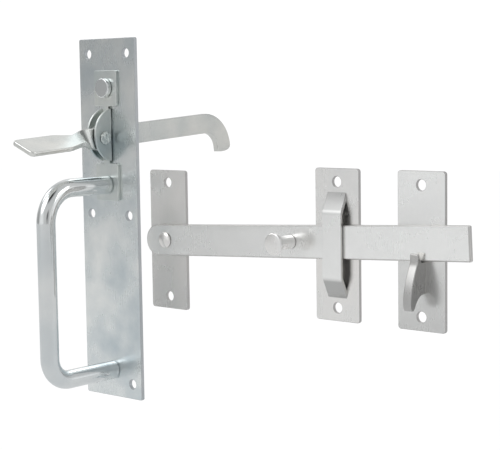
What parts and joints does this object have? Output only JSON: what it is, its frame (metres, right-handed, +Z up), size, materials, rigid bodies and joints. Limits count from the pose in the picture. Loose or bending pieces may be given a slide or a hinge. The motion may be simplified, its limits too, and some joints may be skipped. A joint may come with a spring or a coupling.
{
  "type": "gravity gate latch",
  "caption": "Thumb-lever gate latch kit: pull handle on a long plate, pivoted bar that falls by its own weight, guide strap and hooked catch.",
  "frame": {"origin": "middle of the handle plate's back face", "axes": "+X right as seen from the front of the gate, +Y into the gate, +Z up; the backs of all four plates lie in Y = 0"},
  "size_m": [0.2932, 0.1845, 0.228],
  "materials": {
    "bright_zinc": "bright zinc plated steel, bluish grey and glossy",
    "satin_zinc": "zinc plated steel, neutral silver with a softer sheen"
  },
  "bodies": {
    "plates": {"handle_plate": "bright_zinc", "thumb_bracket": "bright_zinc", "bracket_rivet": "bright_zinc", "pull_handle": "bright_zinc", "lever_pin": "bright_zinc", "pivot_plate": "satin_zinc", "pivot_rivet": "satin_zinc", "guide_plate": "satin_zinc", "guide_staple": "satin_zinc", "catch_plate": "satin_zinc", "catch_hook": "satin_zinc"},
    "lever": {"thumb_lever": "bright_zinc"},
    "bar": {"latch_bar": "satin_zinc", "lift_knob": "satin_zinc"}
  },
  "joints": [
    {"name": "thumb_press", "type": "hinge", "parent": "plates", "child": "lever", "pos_m": [0, -0.0092, 0.0519], "axis": [1, 0, 0], "range_deg": [0, 20]},
    {"name": "bar_lift", "type": "hinge", "parent": "plates", "child": "bar", "pos_m": [0.051, -0.0038, -0.01], "axis": [0, -1, 0], "range_deg": [0, 2.6]}
  ]
}
